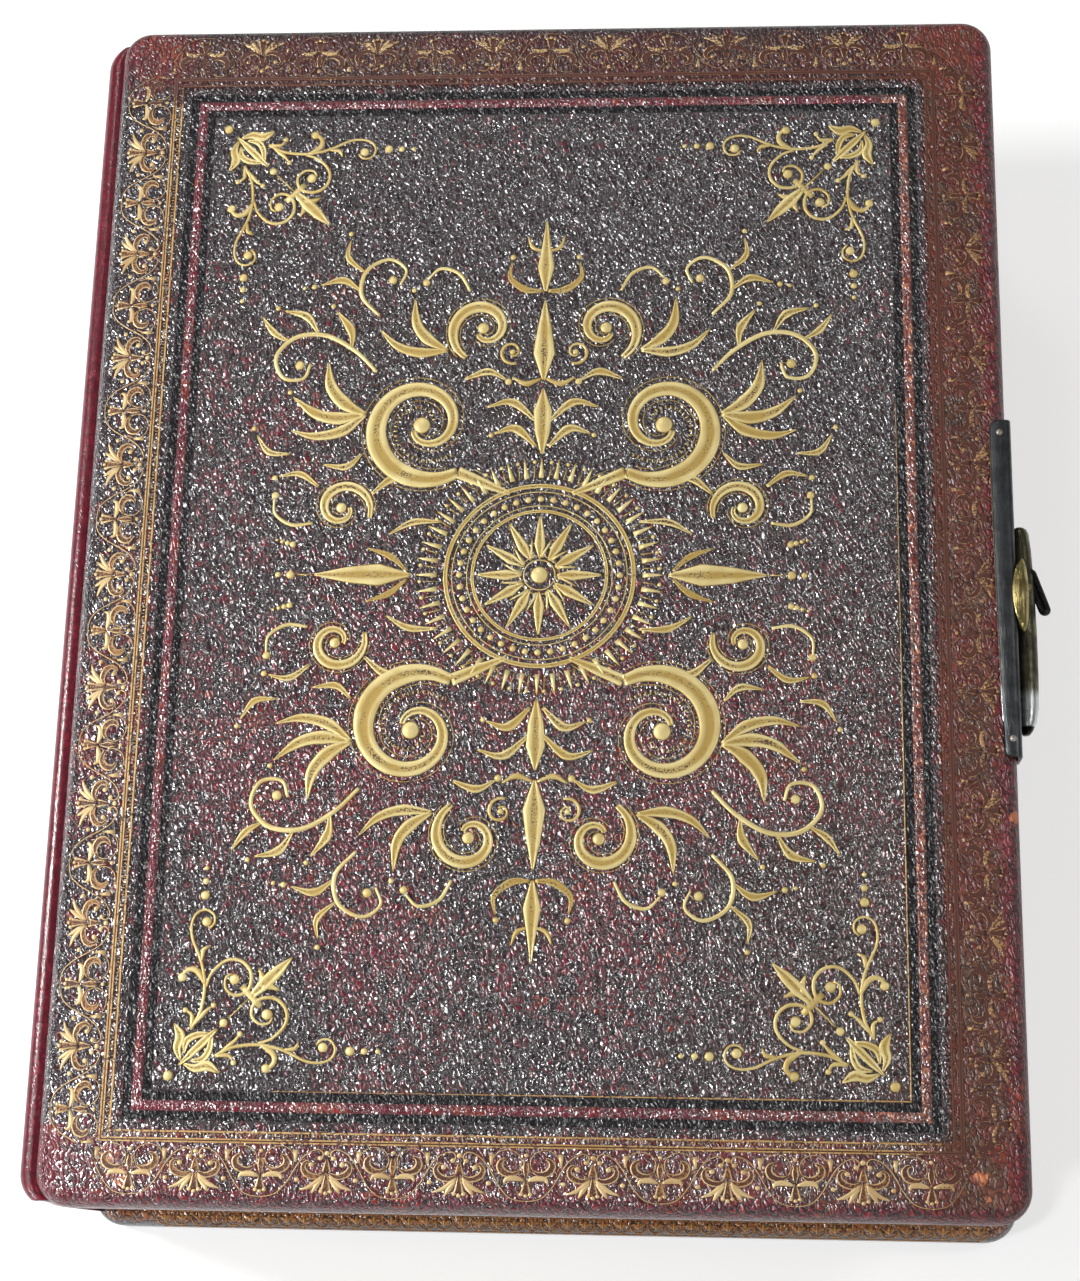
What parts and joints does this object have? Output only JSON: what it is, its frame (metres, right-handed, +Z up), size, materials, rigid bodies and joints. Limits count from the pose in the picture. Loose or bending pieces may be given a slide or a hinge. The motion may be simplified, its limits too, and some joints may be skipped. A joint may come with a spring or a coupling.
{
  "type": "musical photograph album",
  "caption": "Victorian musical photograph album with padded gilt-tooled leather covers, gilt-edged card leaves, a metal clasp and a wind-up cylinder movement in its case.",
  "frame": {"origin": "on the flat underside of the rear cover, under the middle of the gilt frame on the front cover", "axes": "+X from the spine to the fore-edge and clasp, +Y from tail to head, +Z up out of the front cover; the album lies closed on its back"},
  "size_m": [0.2502, 0.312, 0.0814],
  "materials": {
    "cover_leather": "dark mottled maroon pebble-grain leather, rubbed to rust at the edges",
    "joint_leather": "smooth crimson leather, worn",
    "board": "greyboard",
    "lining": "cream paper",
    "black_band": "smooth black",
    "gold": "gold leaf tooled into the leather, rubbed",
    "leaves": "card leaves with gilt edges",
    "case_wood": "deal, covered outside with gilt paper",
    "clasp_metal": "dark bronzed metal",
    "clasp_brass": "worn brass",
    "rivet_metal": "nickelled pin heads",
    "black_wire": "black lacquer",
    "movement_brass": "lacquered brass",
    "movement_steel": "polished steel",
    "bed_iron": "painted cast iron"
  },
  "bodies": {
    "album": {"rear_leather": "cover_leather", "rear_board": "board", "rear_edge_gilding": "gold", "spine_leather": "joint_leather", "spine_card": "board", "leaf_block": "leaves", "case_head_wall": "case_wood", "case_tail_wall": "case_wood", "case_fore_wall": "case_wood", "case_spine_wall": "case_wood", "case_deck": "case_wood", "sound_board": "case_wood", "clasp_rear_plate": "clasp_metal", "clasp_rear_rivets": "rivet_metal", "clasp_hinge_pin": "clasp_brass", "key_well": "movement_brass", "click_screw": "movement_steel", "click_spring": "movement_steel", "bedplate": "bed_iron", "bedplate_screws": "movement_steel", "barrel_bridge": "movement_brass", "bridge_screws": "movement_steel", "cylinder_bearings": "movement_brass", "music_comb": "movement_steel", "comb_block": "movement_brass", "comb_screws": "movement_steel", "governor_frame": "movement_brass", "stop_guide": "movement_brass"},
    "front_cover": {"front_leather": "cover_leather", "front_board": "board", "front_lining": "lining", "black_bands": "black_band", "gilt_lines": "gold", "gilt_roll": "gold", "corner_sprays": "gold", "centre_ornament": "gold", "clasp_front_plate": "clasp_metal", "clasp_front_rivets": "rivet_metal"},
    "strap": {"clasp_strap": "clasp_metal", "clasp_thumb_piece": "clasp_brass", "clasp_thumb_rivet": "clasp_brass", "clasp_lever_pin": "clasp_brass"},
    "release_lever": {"clasp_release_lever": "black_wire"},
    "key": {"winding_key": "movement_brass", "winding_arbor": "movement_steel", "ratchet_wheel": "movement_steel"},
    "click": {"click": "movement_steel"},
    "barrel": {"spring_barrel": "movement_brass", "mainspring": "movement_steel"},
    "cylinder": {"music_cylinder": "movement_brass", "cylinder_pins": "movement_steel", "cylinder_spindle": "movement_steel", "cylinder_wheel": "movement_brass"},
    "governor": {"governor_wheel": "movement_brass"},
    "fly": {"worm_and_fly": "movement_steel"},
    "stop": {"stop_slide": "movement_brass", "brake_wire": "movement_steel"}
  },
  "joints": [
    {"name": "cover_hinge", "type": "hinge", "parent": "album", "child": "front_cover", "pos_m": [-0.1181, 0, 0.071], "axis": [0, -1, 0], "range_deg": [0, 180]},
    {"name": "strap_hinge", "type": "hinge", "parent": "album", "child": "strap", "pos_m": [0.1182, -0.012, 0.0146], "axis": [0, 1, 0], "range_deg": [0, 100]},
    {"name": "release_lever_pivot", "type": "hinge", "parent": "strap", "child": "release_lever", "pos_m": [0.121, 0.0025, 0.0734], "axis": [0, 0, 1], "range_deg": [0, 35], "stiffness_Nm_per_rad": 0.002},
    {"name": "key_turn", "type": "hinge", "parent": "album", "child": "key", "pos_m": [-0.052, -0.112, 0.005], "axis": [0, 0, 1], "continuous": true},
    {"name": "click_lift", "type": "hinge", "parent": "album", "child": "click", "pos_m": [-0.0582, -0.1035, 0.02785], "axis": [0, 0, -1], "range_deg": [-5.5, 3], "stiffness_Nm_per_rad": 0.001},
    {"name": "barrel_spin", "type": "hinge", "parent": "album", "child": "barrel", "pos_m": [-0.052, -0.112, 0.017], "axis": [0, 0, 1], "continuous": true},
    {"name": "cylinder_spin", "type": "hinge", "parent": "album", "child": "cylinder", "pos_m": [0, -0.112, 0.02785], "axis": [1, 0, 0], "continuous": true},
    {"name": "governor_spin", "type": "hinge", "parent": "album", "child": "governor", "pos_m": [0.0307, -0.1216, 0.02785], "axis": [1, 0, 0], "continuous": true},
    {"name": "fly_spin", "type": "hinge", "parent": "album", "child": "fly", "pos_m": [0.0307, -0.12945, 0.02785], "axis": [0, 0, 1], "continuous": true},
    {"name": "stop_slide", "type": "slide", "parent": "album", "child": "stop", "axis": [1, 0, 0], "range_m": [0, 0.006]}
  ],
  "couplings": [
    {"joint": "cylinder_spin", "follows": "barrel_spin", "ratio": 4},
    {"joint": "governor_spin", "follows": "barrel_spin", "ratio": -20},
    {"joint": "fly_spin", "follows": "barrel_spin", "ratio": -400}
  ]
}
